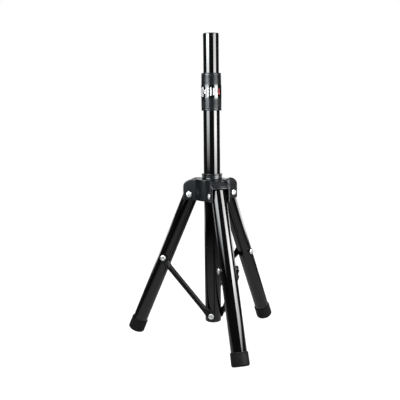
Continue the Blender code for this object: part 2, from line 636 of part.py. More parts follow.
for number in (1, 2, 3):
    brace = finish("brace_%d" % number, brace_mesh(BRACE_LENGTH), SATIN_BLACK, 50)
    boolean(brace, cylinder_y(HOLE_R, 10, 40), "DIFFERENCE")
    boolean(brace, cylinder_y(HOLE_R, 10, 40, z=BRACE_LENGTH), "DIFFERENCE")
    attach(tidy(brace, 50), brace_frames[number - 1])
    attach(bolt("brace_nut_%d" % number, BRACE_IN + BRACE_FLAT + GAP, BRACE_IN + 0.1, BOLT_R,
                0, BRACE_LENGTH), brace_frames[number - 1])
    azimuth = math.radians(LEG_AZIMUTH[number - 1])
    screw_frame = empty("pole_screw_frame_%d" % number, (0, 0, BRACE_FOOT_Z), (0, 0, azimuth),
                        parent=pole_frame)
    attach(bolt("pole_screw_%d" % number, BRACE_IN + BRACE_FLAT + GAP, 10.0, 2.2, 0, 0),
           screw_frame)
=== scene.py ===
"""Looks of the speaker tripod stand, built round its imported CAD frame."""
import math

import bmesh
import bpy
import numpy as np
from mathutils import Matrix, Vector


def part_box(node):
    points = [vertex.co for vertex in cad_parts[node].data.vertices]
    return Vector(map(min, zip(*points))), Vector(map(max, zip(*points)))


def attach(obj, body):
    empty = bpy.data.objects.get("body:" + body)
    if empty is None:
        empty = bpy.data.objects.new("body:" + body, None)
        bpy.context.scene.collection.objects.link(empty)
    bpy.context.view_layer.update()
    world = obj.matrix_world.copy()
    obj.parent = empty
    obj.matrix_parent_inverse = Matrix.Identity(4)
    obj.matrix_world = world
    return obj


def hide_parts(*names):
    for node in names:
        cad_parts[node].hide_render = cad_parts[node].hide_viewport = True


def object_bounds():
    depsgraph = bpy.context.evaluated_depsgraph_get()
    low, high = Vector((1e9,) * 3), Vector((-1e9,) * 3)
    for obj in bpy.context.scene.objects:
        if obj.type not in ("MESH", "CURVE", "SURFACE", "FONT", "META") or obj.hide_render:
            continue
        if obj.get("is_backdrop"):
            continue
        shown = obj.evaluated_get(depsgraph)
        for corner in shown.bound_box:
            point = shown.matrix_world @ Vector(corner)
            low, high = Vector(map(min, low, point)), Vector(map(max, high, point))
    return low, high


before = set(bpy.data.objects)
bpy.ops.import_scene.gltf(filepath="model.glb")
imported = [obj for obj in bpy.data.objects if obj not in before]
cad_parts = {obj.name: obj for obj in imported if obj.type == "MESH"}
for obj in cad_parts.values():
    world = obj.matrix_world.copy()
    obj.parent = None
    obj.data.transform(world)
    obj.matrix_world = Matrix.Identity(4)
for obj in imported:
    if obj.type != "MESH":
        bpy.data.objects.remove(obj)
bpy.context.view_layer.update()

MM = 0.001

# ---------------------------------------------------------------- sizes, in millimetres
low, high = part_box("outer_tube")
POLE_X = (low.x + high.x) / 2 / MM
POLE_Y = (low.y + high.y) / 2 / MM

GAP = 0.3
POLE_R, POLE_BORE, POLE_BOTTOM, POLE_TOP = 18.7, 17.8, 46.1, 585.0
INNER_R, INNER_BORE, INNER_BOTTOM, TOP_Z = 17.5, 16.3, 78.0, 703.1
PLUG_BOTTOM, PIN_Z, PIN_AZIMUTH = 41.3, 697.0, 17.0
SLEEVE_LOW, SLEEVE_HIGH = 533.7, 616.5
SLEEVE_R_LOW, SLEEVE_R_MID, SLEEVE_R_HIGH = 22.7, 22.8, 22.1
BAND_LOW, BAND_HIGH, BAND_R, BAND_FLOOR_R = 560.8, 589.8, 23.05, 22.1
HUB_LOW, HUB_HIGH, BARREL_R, HUB_BORE = 331.0, 380.0, 38.7, 21.8
FORK_HALF, SLOT_HALF, FORK_REACH = 21.7, 18.2, 63.5
SLOT_FLOOR, SLOT_ROOF, SHOULDER_R, SHOULDER_Z = 28.8, 361.8, 43.0, 366.0
COLLAR_R, COLLAR_LOW, COLLAR_HIGH = 23.8, 380.6, 391.6
KNOB_AZIMUTH, KNOB_Z = 106.8, 351.0
LEG_AZIMUTH, LEG_TILT = (166.8, 286.8, 46.8), 23.3
PIVOT_R, PIVOT_Z = 49.35, 344.6
LEG_R, LEG_BORE, LEG_ABOVE, LEG_BELOW, MID_BOLT = 17.3, 16.1, 10.0, 360.0, 166.0
FOOT_START, FOOT_R, FOOT_ROUND = 338.6, 19.7, 4.6
TILT = math.radians(LEG_TILT)
FOOT_END = FOOT_ROUND + (PIVOT_Z - FOOT_ROUND
                         - (FOOT_R - FOOT_ROUND) * math.sin(TILT)) / math.cos(TILT)
BRACE_FOOT_Z, BRACE_TUBE_R, BRACE_FLAT_HALF = 57.5, 6.5, 9.0
BRACE_IN, BRACE_FLAT, BRACE_AXIS_N = 19.0, 2.8, 24.7
BOLT_R, HOLE_R, HEAD_R, HEAD_H = 3.0, 3.3, 6.5, 2.3

mid_r = PIVOT_R + MID_BOLT * math.sin(TILT)
mid_z = PIVOT_Z - MID_BOLT * math.cos(TILT)
BRACE_LENGTH = math.hypot(mid_r, mid_z - BRACE_FOOT_Z)
BRACE_TILT = math.atan2(mid_r, mid_z - BRACE_FOOT_Z)


def place(x, y, z):
    return Matrix.Translation(Vector((x, y, z)) * MM)


POLE_M = place(POLE_X, POLE_Y, 0)
LEG_M, HINGE_M, BRACE_M, SCREW_M = [], [], [], []
for azimuth in LEG_AZIMUTH:
    a = math.radians(azimuth)
    turn = Matrix.Rotation(a, 4, "Z")
    pivot = place(POLE_X + PIVOT_R * math.cos(a), POLE_Y + PIVOT_R * math.sin(a), PIVOT_Z)
    foot_of_pole = place(POLE_X, POLE_Y, BRACE_FOOT_Z)
    HINGE_M.append(pivot @ turn)
    LEG_M.append(pivot @ turn @ Matrix.Rotation(-TILT, 4, "Y"))
    SCREW_M.append(foot_of_pole @ turn)
    BRACE_M.append(foot_of_pole @ turn @ Matrix.Rotation(BRACE_TILT, 4, "Y"))
KNOB_M = place(POLE_X, POLE_Y, KNOB_Z) @ Matrix.Rotation(math.radians(KNOB_AZIMUTH), 4, "Z")

ALONG_Y = np.array([[1, 0, 0], [0, 0, 1], [0, -1, 0]], float)     # local Z becomes Y
ALONG_X = np.array([[0, 0, 1], [0, 1, 0], [-1, 0, 0]], float)     # local Z becomes X


# ---------------------------------------------------------------- materials
class Shader:
    """A Principled material with short names for the nodes it is made of."""

    def __init__(self, name, base, roughness, metallic=0.0, ior=1.5, coat=0.0, coat_rough=0.05,
                 specular=0.5):
        self.m = bpy.data.materials.new(name)
        self.m.use_nodes = True
        self.t = self.m.node_tree
        self.p = self.t.nodes["Principled BSDF"]
        self.p.inputs["Base Color"].default_value = (*base, 1)
        self.p.inputs["Roughness"].default_value = roughness
        self.p.inputs["Metallic"].default_value = metallic
        self.p.inputs["IOR"].default_value = ior
        self.p.inputs["Specular IOR Level"].default_value = specular
        self.p.inputs["Coat Weight"].default_value = coat
        self.p.inputs["Coat Roughness"].default_value = coat_rough
        self.co = self.t.nodes.new("ShaderNodeTexCoord").outputs["Object"]
        self.normal = None

    def link(self, a, b):
        self.t.links.new(a, b)

    def mapped(self, scale=(1, 1, 1), offset=(0, 0, 0)):
        n = self.t.nodes.new("ShaderNodeMapping")
        n.inputs["Scale"].default_value = scale
        n.inputs["Location"].default_value = offset
        self.link(self.co, n.inputs["Vector"])
        return n.outputs["Vector"]

    def noise(self, scale, detail=3.0, rough=0.5, stretch=(1, 1, 1), offset=(0, 0, 0)):
        n = self.t.nodes.new("ShaderNodeTexNoise")
        n.inputs["Scale"].default_value = scale
        n.inputs["Detail"].default_value = detail
        n.inputs["Roughness"].default_value = rough
        self.link(self.mapped(stretch, offset), n.inputs["Vector"])
        return n.outputs["Fac"]

    def cells(self, scale, feature="F1", stretch=(1, 1, 1)):
        n = self.t.nodes.new("ShaderNodeTexVoronoi")
        n.feature = feature
        n.inputs["Scale"].default_value = scale
        self.link(self.mapped(stretch), n.inputs["Vector"])
        return n.outputs["Distance"]

    def ranged(self, value, a, b, c, d, smooth=False):
        n = self.t.nodes.new("ShaderNodeMapRange")
        if smooth:
            n.interpolation_type = "SMOOTHSTEP"
        n.inputs["From Min"].default_value = a
        n.inputs["From Max"].default_value = b
        n.inputs["To Min"].default_value = c
        n.inputs["To Max"].default_value = d
        self.link(value, n.inputs["Value"])
        return n.outputs["Result"]

    def math(self, operation, a, b):
        n = self.t.nodes.new("ShaderNodeMath")
        n.operation = operation
        for socket, value in zip(n.inputs, (a, b)):
            if isinstance(value, (int, float)):
                socket.default_value = value
            else:
                self.link(value, socket)
        return n.outputs[0]

    def colours(self, value, stops):
        n = self.t.nodes.new("ShaderNodeValToRGB")
        e = n.color_ramp.elements
        while len(e) < len(stops):
            e.new(0.5)
        for element, (at, colour) in zip(e, stops):
            element.position = at
            element.color = (*colour, 1)
        self.link(value, n.inputs["Fac"])
        return n.outputs["Color"]

    def bump(self, height, strength, distance):
        n = self.t.nodes.new("ShaderNodeBump")
        n.inputs["Strength"].default_value = strength
        n.inputs["Distance"].default_value = distance
        self.link(height, n.inputs["Height"])
        if self.normal is not None:
            self.link(self.normal, n.inputs["Normal"])
        self.normal = n.outputs["Normal"]
        self.link(self.normal, self.p.inputs["Normal"])

    def set(self, socket, value):
        self.link(value, self.p.inputs[socket])

    def edges(self, start, end):
        """0 on flats, 1 on worn outer edges, from the mesh's own curvature."""
        n = self.t.nodes.new("ShaderNodeNewGeometry")
        return self.ranged(n.outputs["Pointiness"], start, end, 0, 1, smooth=True)


def grey(v, warm=0.0):
    return (v * (1 + warm), v, v * (1 - warm))


def cool(v):
    """The black mouldings lean a little to blue."""
    return (v * 0.68, v, v * 1.35)


def gloss_paint(name, low_rough, high_rough, streak, base=0.0005, specular=0.5):
    """Baked gloss enamel: faint orange peel, dust specks, fine scuffs along the tube."""
    s = Shader(name, grey(base), low_rough, specular=specular)
    patch = s.noise(22, 4, 0.6)
    scuff = s.noise(1.0, 3, 0.6, stretch=(1500, 1500, 26))
    scuff = s.ranged(scuff, 0.56, 0.74, 0.0, streak)
    rough = s.math("ADD", s.ranged(patch, 0.3, 0.7, low_rough, high_rough), scuff)
    speck = s.ranged(s.cells(420), 0.0, 0.11, 1.0, 0.0)
    gate = s.ranged(s.noise(75, 2, offset=(3, 1, 2)), 0.62, 0.68, 0.0, 1.0)
    speck = s.math("MULTIPLY", speck, gate)
    s.set("Roughness", rough)
    s.set("Base Color", s.colours(speck, [(0.0, grey(base)), (1.0, grey(base * 4))]))
    s.bump(s.noise(60, 2, 0.5), 0.02, 0.0002)
    return s.m


def moulded(name, dark, light, rough_low, rough_high, grain, depth, edge=None, specular=0.5):
    """Spark-textured moulding: fine grain, uneven sheen, edges rubbed a little lighter."""
    s = Shader(name, cool(dark), rough_low, specular=specular)
    cloud = s.noise(30, 5, 0.6)
    fine = s.noise(grain, 4, 0.65)
    tone = s.math("ADD", s.math("MULTIPLY", cloud, 0.65), s.math("MULTIPLY", fine, 0.35))
    if edge:
        worn = s.math("MULTIPLY", s.edges(*edge), s.ranged(s.noise(160, 4), 0.3, 0.7, 0.3, 1.0))
        tone = s.math("ADD", tone, s.math("MULTIPLY", worn, 0.45))
    s.set("Base Color", s.colours(tone, [(0.3, cool(dark)), (0.7, cool(light)),
                                         (1.0, cool(light * 1.9))]))
    s.set("Roughness", s.ranged(s.math("ADD", cloud, s.math("MULTIPLY", fine, 0.5)),
                                0.5, 1.0, rough_low, rough_high))
    s.bump(s.noise(grain * 0.28, 3, 0.5, offset=(5, 2, 7)), depth * 0.5, 0.00012)
    s.bump(fine, depth, 0.00006)
    return s.m


def plated(name, tint, rough_low, rough_high):
    """Bright zinc plate with a brushed, slightly blotchy surface."""
    s = Shader(name, tint, rough_low, metallic=1.0)
    cloud = s.noise(260, 4, 0.6)
    s.set("Roughness", s.ranged(cloud, 0.3, 0.7, rough_low, rough_high))
    s.set("Base Color", s.colours(s.noise(120, 3), [
        (0.3, tuple(c * 0.88 for c in tint)), (0.65, tint)]))
    s.bump(s.noise(1800, 2), 0.08, 0.00004)
    return s.m


def rubber(name):
    s = Shader(name, grey(0.004), 0.62, specular=0.14)
    cloud = s.noise(55, 5, 0.65)
    fine = s.noise(1700, 3, 0.7)
    dust = s.ranged(s.noise(240, 4, 0.7, offset=(2, 9, 4)), 0.58, 0.72, 0.0, 0.35)
    tone = s.math("ADD", s.math("ADD", s.math("MULTIPLY", cloud, 0.7),
                                s.math("MULTIPLY", fine, 0.3)), dust)
    s.set("Base Color", s.colours(tone, [(0.3, grey(0.0024)), (0.62, grey(0.005)),
                                         (1.0, grey(0.02, 0.03))]))
    s.set("Roughness", s.ranged(cloud, 0.3, 0.7, 0.52, 0.7))
    s.bump(fine, 0.25, 0.0001)
    return s.m


def plain_gloss(name, colour, rough):
    """Smooth printed or lacquered surface with slight waviness."""
    s = Shader(name, colour, rough)
    s.set("Roughness", s.ranged(s.noise(60, 3), 0.3, 0.7, rough * 0.8, rough * 1.5))
    lighter = tuple(min(1.0, c * 1.12 + 0.0004) for c in colour)
    s.set("Base Color", s.colours(s.noise(500, 2), [(0.35, colour), (0.7, lighter)]))
    s.bump(s.noise(420, 2), 0.03, 0.0002)
    return s.m


MAT = {
    "gloss": gloss_paint("gloss_black_enamel", 0.06, 0.09, 0.03),
    "leg": gloss_paint("black_leg_enamel", 0.07, 0.10, 0.04),
    "brace": gloss_paint("black_brace_enamel", 0.38, 0.46, 0.05, base=0.0018, specular=0.16),
    "hub": moulded("black_moulded_hub", 0.0014, 0.0026, 0.28, 0.38, 2300, 0.25, (0.505, 0.56), 0.3),
    "collar": moulded("black_moulded_bush", 0.0016, 0.003, 0.22, 0.30, 2300, 0.15, None, 0.5),
    "sleeve": moulded("black_moulded_sleeve", 0.0014, 0.003, 0.24, 0.33, 2600, 0.16, None, 0.25),
    "nylon": moulded("black_nylon", 0.0016, 0.003, 0.34, 0.48, 2000, 0.2, None, 0.35),
    "rubber": rubber("black_rubber"),
    "plate": plated("zinc_plate", (0.74, 0.74, 0.745), 0.36, 0.48),
    "pin": plated("blackened_steel", (0.05, 0.05, 0.052), 0.3, 0.45),
    "band": plain_gloss("black_gloss_band", grey(0.0009), 0.09),
    "white_print": plain_gloss("white_print", (0.2, 0.2, 0.2), 0.35),
    "red_print": plain_gloss("red_print", (0.16, 0.004, 0.005), 0.35),
}


# ---------------------------------------------------------------- mesh helpers
def fillet(points, radius=0.3, steps=4, closed=True):
    """Round the corners of a (r, z) profile, with a support point beside each round."""
    out = []
    count = len(points)
    for i, p in enumerate(points):
        if not closed and i in (0, count - 1):
            out.append(p)
            continue
        a = Vector(points[i - 1]) - Vector(p)
        b = Vector(points[(i + 1) % count]) - Vector(p)
        la, lb = a.length, b.length
        if la < 1e-6 or lb < 1e-6:
            continue
        a /= la
        b /= lb
        turn_angle = math.pi - a.angle(b)
        if turn_angle < math.radians(12) or p[0] < 1e-6:
            out.append(p)
            continue
        reach = min(radius * math.tan(turn_angle / 2), 0.42 * la, 0.42 * lb)
        r = reach / math.tan(turn_angle / 2)
        centre = Vector(p) + (a + b).normalized() * (r / math.cos(turn_angle / 2))
        start = Vector(p) + a * reach
        end = Vector(p) + b * reach
        if la > reach * 3.2:
            out.append(tuple(Vector(p) + a * (reach * 1.35)))
        va, vb = start - centre, end - centre
        full = va.angle(vb)
        for k in range(steps + 1):
            t = k / steps
            if full < 1e-6:
                v = va
            else:
                v = (va * math.sin((1 - t) * full) + vb * math.sin(t * full)) / math.sin(full)
            out.append(tuple(centre + v))
        if lb > reach * 3.2:
            out.append(tuple(Vector(p) + b * (reach * 1.35)))
    return out


def lathe(profile, segments, closed=True, turn=None):
    """Spin (radius, height) points round Z. Points on the axis become one vertex each."""
    verts, rings, faces = [], [], []
    for r, z in profile:
        if r < 1e-6:
            rings.append([len(verts)])
            verts.append((0.0, 0.0, z))
        else:
            start = len(verts)
            for k in range(segments):
                a = 2 * math.pi * k / segments
                verts.append((r * math.cos(a), r * math.sin(a), z))
            rings.append(list(range(start, start + segments)))
    pairs = list(zip(rings, rings[1:]))
    if closed:
        pairs.append((rings[-1], rings[0]))
    for one, two in pairs:
        if len(one) == 1 and len(two) == 1:
            continue
        for k in range(segments):
            j = (k + 1) % segments
            if len(one) == 1:
                faces.append((one[0], two[k], two[j]))
            elif len(two) == 1:
                faces.append((one[k], one[j], two[0]))
            else:
                faces.append((one[k], one[j], two[j], two[k]))
    verts = np.array(verts)
    if turn is not None:
        verts = verts @ turn.T
    return verts, faces


def make_mesh(name, verts, faces, sharp=38.0):
    mesh = bpy.data.meshes.new(name)
    mesh.from_pydata([tuple(v) for v in np.asarray(verts) * MM], [], faces)
    mesh.validate()
    bm = bmesh.new()
    bm.from_mesh(mesh)
    bmesh.ops.remove_doubles(bm, verts=bm.verts, dist=1e-7)
    bmesh.ops.recalc_face_normals(bm, faces=bm.faces)
    bm.to_mesh(mesh)
    bm.free()
    mesh.shade_smooth()
    if sharp:
        mesh.set_sharp_from_angle(angle=math.radians(sharp))
    return mesh


def piece(name, mesh, material, body, nodes=(), matrix=None):
    obj = bpy.data.objects.new(name, mesh)
    bpy.context.scene.collection.objects.link(obj)
    if not mesh.materials:
        mesh.materials.append(MAT[material])
    if matrix is not None:
        obj.matrix_world = matrix
    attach(obj, body)
    if nodes:
        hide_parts(*nodes)
    return obj


def cut(mesh, tools, operation="DIFFERENCE", sharp=38.0):
    """Cut a mesh with closed (verts, faces) tools, all in the same local millimetres."""
    obj = bpy.data.objects.new("work", mesh)
    bpy.context.scene.collection.objects.link(obj)
    for verts, faces in tools:
        tool = bpy.data.objects.new("tool", make_mesh("tool", verts, faces, 0))
        bpy.context.scene.collection.objects.link(tool)
        mod = obj.modifiers.new("cut", "BOOLEAN")
        mod.object = tool
        mod.operation = operation
        mod.solver = "EXACT"
        graph = bpy.context.evaluated_depsgraph_get()
        graph.update()
        made = bpy.data.meshes.new_from_object(obj.evaluated_get(graph))
        obj.modifiers.clear()
        obj.data = made
        data = tool.data
        bpy.data.objects.remove(tool, do_unlink=True)
        bpy.data.meshes.remove(data)
    made = obj.data
    bpy.data.objects.remove(obj, do_unlink=True)
    made.name = mesh.name
    bm = bmesh.new()
    bm.from_mesh(made)
    bmesh.ops.remove_doubles(bm, verts=bm.verts, dist=1e-6)
    bmesh.ops.dissolve_degenerate(bm, edges=bm.edges, dist=1e-7)
    loose = [v for v in bm.verts if not v.link_faces]
    bmesh.ops.delete(bm, geom=loose, context="VERTS")
    bm.to_mesh(made)
    bm.free()
    made.materials.clear()
    made.shade_smooth()
    made.set_sharp_from_angle(angle=math.radians(sharp))
    return made


def rod(radius, start, end, segments=32, turn=ALONG_Y, at=(0.0, 0.0, 0.0)):
    verts, faces = lathe([(0.0, start), (radius, start), (radius, end), (0.0, end)], segments,
                         closed=False, turn=turn)
    return verts + np.array(at), faces


def turned(tool, degrees):
    verts, faces = tool
    a = math.radians(degrees)
    m = np.array([[math.cos(a), -math.sin(a), 0], [math.sin(a), math.cos(a), 0], [0, 0, 1]])
    return verts @ m.T, faces


def arc(cx, cz, rx, rz, start, end, steps):
    return [(cx + rx * math.cos(math.radians(start + (end - start) * i / steps)),
             cz + rz * math.sin(math.radians(start + (end - start) * i / steps)))
            for i in range(steps + 1)]


# ---------------------------------------------------------------- distance-field meshes
def smin(a, b, k):
    h = np.maximum(k - np.abs(a - b), 0.0) / k
    return np.minimum(a, b) - h * h * k * 0.25


def smax(a, b, k):
    return -smin(-a, -b, k)


def surface_net(field, low, high, step):
    """Quads on the zero surface of a distance field, pulled onto it exactly."""
    low, high = np.array(low, float), np.array(high, float)
    n = np.ceil((high - low) / step).astype(int) + 1
    axes = [low[i] + step * np.arange(n[i]) for i in range(3)]
    yy, zz = np.meshgrid(axes[1], axes[2], indexing="ij")
    vol = np.empty(tuple(n))
    for i, x in enumerate(axes[0]):
        vol[i] = field(np.full(yy.shape, x), yy, zz)
    inside = vol < 0
    count = np.zeros(tuple(n - 1), int)
    for dx in (0, 1):
        for dy in (0, 1):
            for dz in (0, 1):
                count += inside[dx:n[0] - 1 + dx, dy:n[1] - 1 + dy, dz:n[2] - 1 + dz]
    active = (count > 0) & (count < 8)
    index = np.full(active.shape, -1)
    cells = np.argwhere(active)
    index[tuple(cells.T)] = np.arange(len(cells))
    total = np.zeros((len(cells), 3))
    hits = np.zeros(len(cells))
    for axis in range(3):
        others = [d for d in range(3) if d != axis]
        for p in (0, 1):
            for q in (0, 1):
                a = np.zeros(3, int)
                a[others[0]], a[others[1]] = p, q
                b = a.copy()
                b[axis] = 1
                va = vol[tuple((cells + a).T)]
                vb = vol[tuple((cells + b).T)]
                crossing = (va < 0) != (vb < 0)
                t = np.where(crossing, va / np.where(crossing, va - vb, 1.0), 0.0)
                total[crossing] += (a + t[:, None] * (b - a))[crossing]
                hits += crossing
    verts = low + step * (cells + total / hits[:, None])
    faces = []
    for d in range(3):
        u, v = (d + 1) % 3, (d + 2) % 3
        first = [slice(None)] * 3
        second = [slice(None)] * 3
        first[d], second[d] = slice(0, n[d] - 1), slice(1, n[d])
        for w in (u, v):
            first[w] = second[w] = slice(1, n[w] - 1)
        a, b = inside[tuple(first)], inside[tuple(second)]
        for out in (True, False):
            grid = np.argwhere(a & ~b if out else ~a & b)
            grid[:, u] += 1
            grid[:, v] += 1
            eu, ev = np.zeros(3, int), np.zeros(3, int)
            eu[u], ev[v] = 1, 1
            quad = [index[tuple((grid - s).T)] for s in (0 * eu, eu, eu + ev, ev)]
            if not out:
                quad.reverse()
            faces.append(np.stack(quad, 1))
    faces = np.concatenate(faces)
    e = 0.03
    for _ in range(5):
        value = field(*verts.T)
        g = np.stack([(field(*(verts + e * np.eye(3)[i]).T)
                       - field(*(verts - e * np.eye(3)[i]).T)) / (2 * e) for i in range(3)], 1)
        size = np.maximum((g * g).sum(1), 0.2)
        move = -(value / size)[:, None] * g
        length = np.linalg.norm(move, axis=1)
        verts = verts + move * np.minimum(1.0, 0.4 * step / np.maximum(length, 1e-9))[:, None]
    return verts, faces


def field_mesh(name, field, low, high, step, keep):
    verts, faces = surface_net(field, low, high, step)
    mesh = bpy.data.meshes.new(name)
    mesh.vertices.add(len(verts))
    mesh.vertices.foreach_set("co", (verts * MM).astype(np.float32).ravel())
    mesh.loops.add(len(faces) * 4)
    mesh.loops.foreach_set("vertex_index", faces.astype(np.int32).ravel())
    mesh.polygons.add(len(faces))
    mesh.polygons.foreach_set("loop_start", np.arange(0, len(faces) * 4, 4, dtype=np.int32))
    mesh.update(calc_edges=True)
    mesh.validate()
    mesh.shade_smooth()
    if keep < 1.0:
        obj = bpy.data.objects.new("work", mesh)
        bpy.context.scene.collection.objects.link(obj)
        mod = obj.modifiers.new("lighter", "DECIMATE")
        mod.ratio = keep
        graph = bpy.context.evaluated_depsgraph_get()
        graph.update()
        made = bpy.data.meshes.new_from_object(obj.evaluated_get(graph))
        bpy.data.objects.remove(obj, do_unlink=True)
        bpy.data.meshes.remove(mesh)
        made.name = name
        mesh = made
        mesh.shade_smooth()
    return mesh


# ---------------------------------------------------------------- pole
profile = [(POLE_R, POLE_TOP), (POLE_R, POLE_BOTTOM + 22), (POLE_R, POLE_BOTTOM),
           (POLE_BORE, POLE_BOTTOM), (POLE_BORE, POLE_BOTTOM + 22), (POLE_BORE, POLE_TOP)]
mesh = make_mesh("outer_tube_look", *lathe(fillet(profile, 0.3), 160))
mesh = cut(mesh, [turned(rod(2.7, 8, 24, at=(0, 0, BRACE_FOOT_Z)), a) for a in LEG_AZIMUTH])
piece("outer_tube_look", mesh, "gloss", "pole", ["outer_tube"], POLE_M)

profile = [(0.0, PLUG_BOTTOM + 0.6), (9.0, PLUG_BOTTOM + 0.6), (9.8, PLUG_BOTTOM)]
profile += arc(POLE_R - 3.6, PLUG_BOTTOM + 3.6, 3.6, 3.6, -90, 0, 12)
profile += [(POLE_R, POLE_BOTTOM - GAP), (POLE_BORE - GAP, POLE_BOTTOM - GAP),
            (POLE_BORE - GAP, 67.5), (POLE_BORE - 1.8, 69.0), (0.0, 69.0)]
mesh = make_mesh("pole_end_plug_look", *lathe(fillet(profile, 0.25, closed=False), 128,
                                              closed=False))
mesh = cut(mesh, [turned(rod(2.5, 8.5, 24, at=(0, 0, BRACE_FOOT_Z)), a) for a in LEG_AZIMUTH])
piece("pole_end_plug_look", mesh, "nylon", "pole", ["pole_end_plug"], POLE_M)

# inner tube, its top plug and the pins that hold it
profile = [(INNER_R, TOP_Z - 1.5), (INNER_R, TOP_Z - 16), (INNER_R, INNER_BOTTOM),
           (INNER_BORE, INNER_BOTTOM), (INNER_BORE, TOP_Z - 16), (INNER_BORE, TOP_Z - 1.5)]
mesh = make_mesh("inner_tube_look", *lathe(fillet(profile, 0.3), 160))
mesh = cut(mesh, [turned(rod(1.6, 12, 20, 24, ALONG_X, (0, 0, PIN_Z)), PIN_AZIMUTH + 90 * i)
                  for i in range(4)])
piece("inner_tube_look", mesh, "gloss", "inner_pole", ["inner_tube"], POLE_M)

profile = [(0.0, TOP_Z - 20.0), (INNER_BORE - GAP, TOP_Z - 20.0), (INNER_BORE - GAP, TOP_Z - 1.2),
           (INNER_R - 0.1, TOP_Z - 1.2), (INNER_R - 0.1, TOP_Z - 0.5), (INNER_R - 0.6, TOP_Z),
           (INNER_R - 2.6, TOP_Z), (INNER_R - 3.2, TOP_Z - 0.5), (3.4, TOP_Z - 0.5),
           (2.8, TOP_Z - 1.1), (0.0, TOP_Z - 1.1)]
mesh = make_mesh("top_plug_look", *lathe(fillet(profile, 0.25, closed=False), 128, closed=False))
mesh = cut(mesh, [turned(rod(1.6, 12.2, 20, 24, ALONG_X, (0, 0, PIN_Z)), PIN_AZIMUTH + 90 * i)
                  for i in range(4)])
piece("top_plug_look", mesh, "nylon", "inner_pole", ["top_plug"], POLE_M)

profile = [(0.0, 12.6), (1.1, 12.6), (1.3, 12.8), (1.3, INNER_R + GAP), (2.0, INNER_R + GAP)]
profile += arc(0.0, INNER_R + 0.3, 2.0, 0.65, 0, 90, 8)[:-1] + [(0.0, INNER_R + 0.95)]
pin = make_mesh("top_pin_look", *lathe(profile, 32, closed=False, turn=ALONG_X))
for i in range(4):
    m = place(POLE_X, POLE_Y, PIN_Z) @ Matrix.Rotation(math.radians(PIN_AZIMUTH + 90 * i), 4, "Z")
    piece("top_pin_look_%d" % (i + 1), pin, "pin", "inner_pole",
          ["top_pin_%d" % (i + 1)], m)


# ---------------------------------------------------------------- twist sleeve
def sleeve_radius(z):
    t = (z - SLEEVE_LOW) / (SLEEVE_HIGH - SLEEVE_LOW)
    if t < 0.33:
        return SLEEVE_R_LOW + (SLEEVE_R_MID - SLEEVE_R_LOW) * t / 0.33
    return SLEEVE_R_MID + (SLEEVE_R_HIGH - SLEEVE_R_MID) * (t - 0.33) / 0.67


def ribs(start, end, pitch=1.05, depth=0.17):
    """Fine rings round the grip, each with a rounded crest."""
    count = int(round((end - start) / pitch))
    step = (end - start) / count
    out = []
    for i in range(count):
        for t, d in ((0.0, 1.0), (0.18, 0.45), (0.34, 0.08), (0.5, 0.0), (0.66, 0.08),
                     (0.82, 0.45)):
            z = start + (i + t) * step
            out.append((sleeve_radius(z) - depth * d, z))
    return out


lo, hi = SLEEVE_LOW, SLEEVE_HIGH
profile = [(19.1, lo), (sleeve_radius(lo) - 0.5, lo), (sleeve_radius(lo) + 0.1, lo + 0.7),
           (sleeve_radius(lo) + 0.1, lo + 2.8), (sleeve_radius(lo) - 0.4, lo + 3.4),
           (sleeve_radius(lo + 5) - 0.1, lo + 4.8)]
profile += ribs(lo + 5.4, BAND_LOW - 2.2)
profile += [(sleeve_radius(BAND_LOW), BAND_LOW - 1.6), (sleeve_radius(BAND_LOW), BAND_LOW - GAP),
            (BAND_FLOOR_R, BAND_LOW - GAP), (BAND_FLOOR_R, BAND_HIGH + GAP),
            (sleeve_radius(BAND_HIGH), BAND_HIGH + GAP), (sleeve_radius(BAND_HIGH), BAND_HIGH + 1.6)]
profile += ribs(BAND_HIGH + 2.2, hi - 4.4)
profile += [(sleeve_radius(hi - 4), hi - 3.8), (sleeve_radius(hi) - 0.35, hi - 2.6),
            (sleeve_radius(hi) + 0.15, hi - 2.0), (sleeve_radius(hi) + 0.15, hi - 0.7),
            (sleeve_radius(hi) - 0.5, hi), (INNER_R + 0.4, hi), (INNER_R + 0.4, 605.5),
            (20.0, 604.6), (21.0, 594.3), (21.0, 553.0), (19.1, 551.0)]
mesh = make_mesh("twist_sleeve_look", *lathe(profile, 144), sharp=50)
piece("twist_sleeve_look", mesh, "sleeve", "sleeve", ["twist_sleeve"], POLE_M)

profile = [(BAND_FLOOR_R + GAP, BAND_LOW), (BAND_R - 0.05, BAND_LOW), (BAND_R - 0.05, BAND_HIGH),
           (BAND_FLOOR_R + GAP, BAND_HIGH)]
mesh = make_mesh("label_band_look", *lathe(fillet(profile, 0.25), 160))
piece("label_band_look", mesh, "band", "sleeve", ["label_band"], POLE_M)


def bars(name, numbers, pitch, width, centre):
    """Printed bars on the band, like a level meter: each is a thin curved slab."""
    verts, faces = [], []
    middle = (BAND_LOW + BAND_HIGH) / 2
    inner, outer = BAND_R - 0.25, BAND_R
    for i in numbers:
        tall = 7.5 + 15.5 * abs(math.sin(1.93 * i + 0.7)) ** 0.8
        a0 = math.radians(centre + pitch * i - width / 2)
        a1 = math.radians(centre + pitch * i + width / 2)
        z0, z1 = middle - tall / 2, middle + tall / 2
        steps = 6
        ring = []
        for s in range(steps + 1):
            a = a0 + (a1 - a0) * s / steps
            c, d = math.cos(a), math.sin(a)
            ring.append([(inner * c, inner * d, z0), (outer * c, outer * d, z0),
                         (outer * c, outer * d, z1), (inner * c, inner * d, z1)])
        start = len(verts)
        for section in ring:
            verts.extend(section)
        for s in range(steps):
            p, q = start + 4 * s, start + 4 * (s + 1)
            for k in range(4):
                j = (k + 1) % 4
                faces.append((p + k, p + j, q + j, q + k))
        faces.append((start + 3, start + 2, start + 1, start))
        last = start + 4 * steps
        faces.append((last, last + 1, last + 2, last + 3))
    return make_mesh(name, verts, faces)


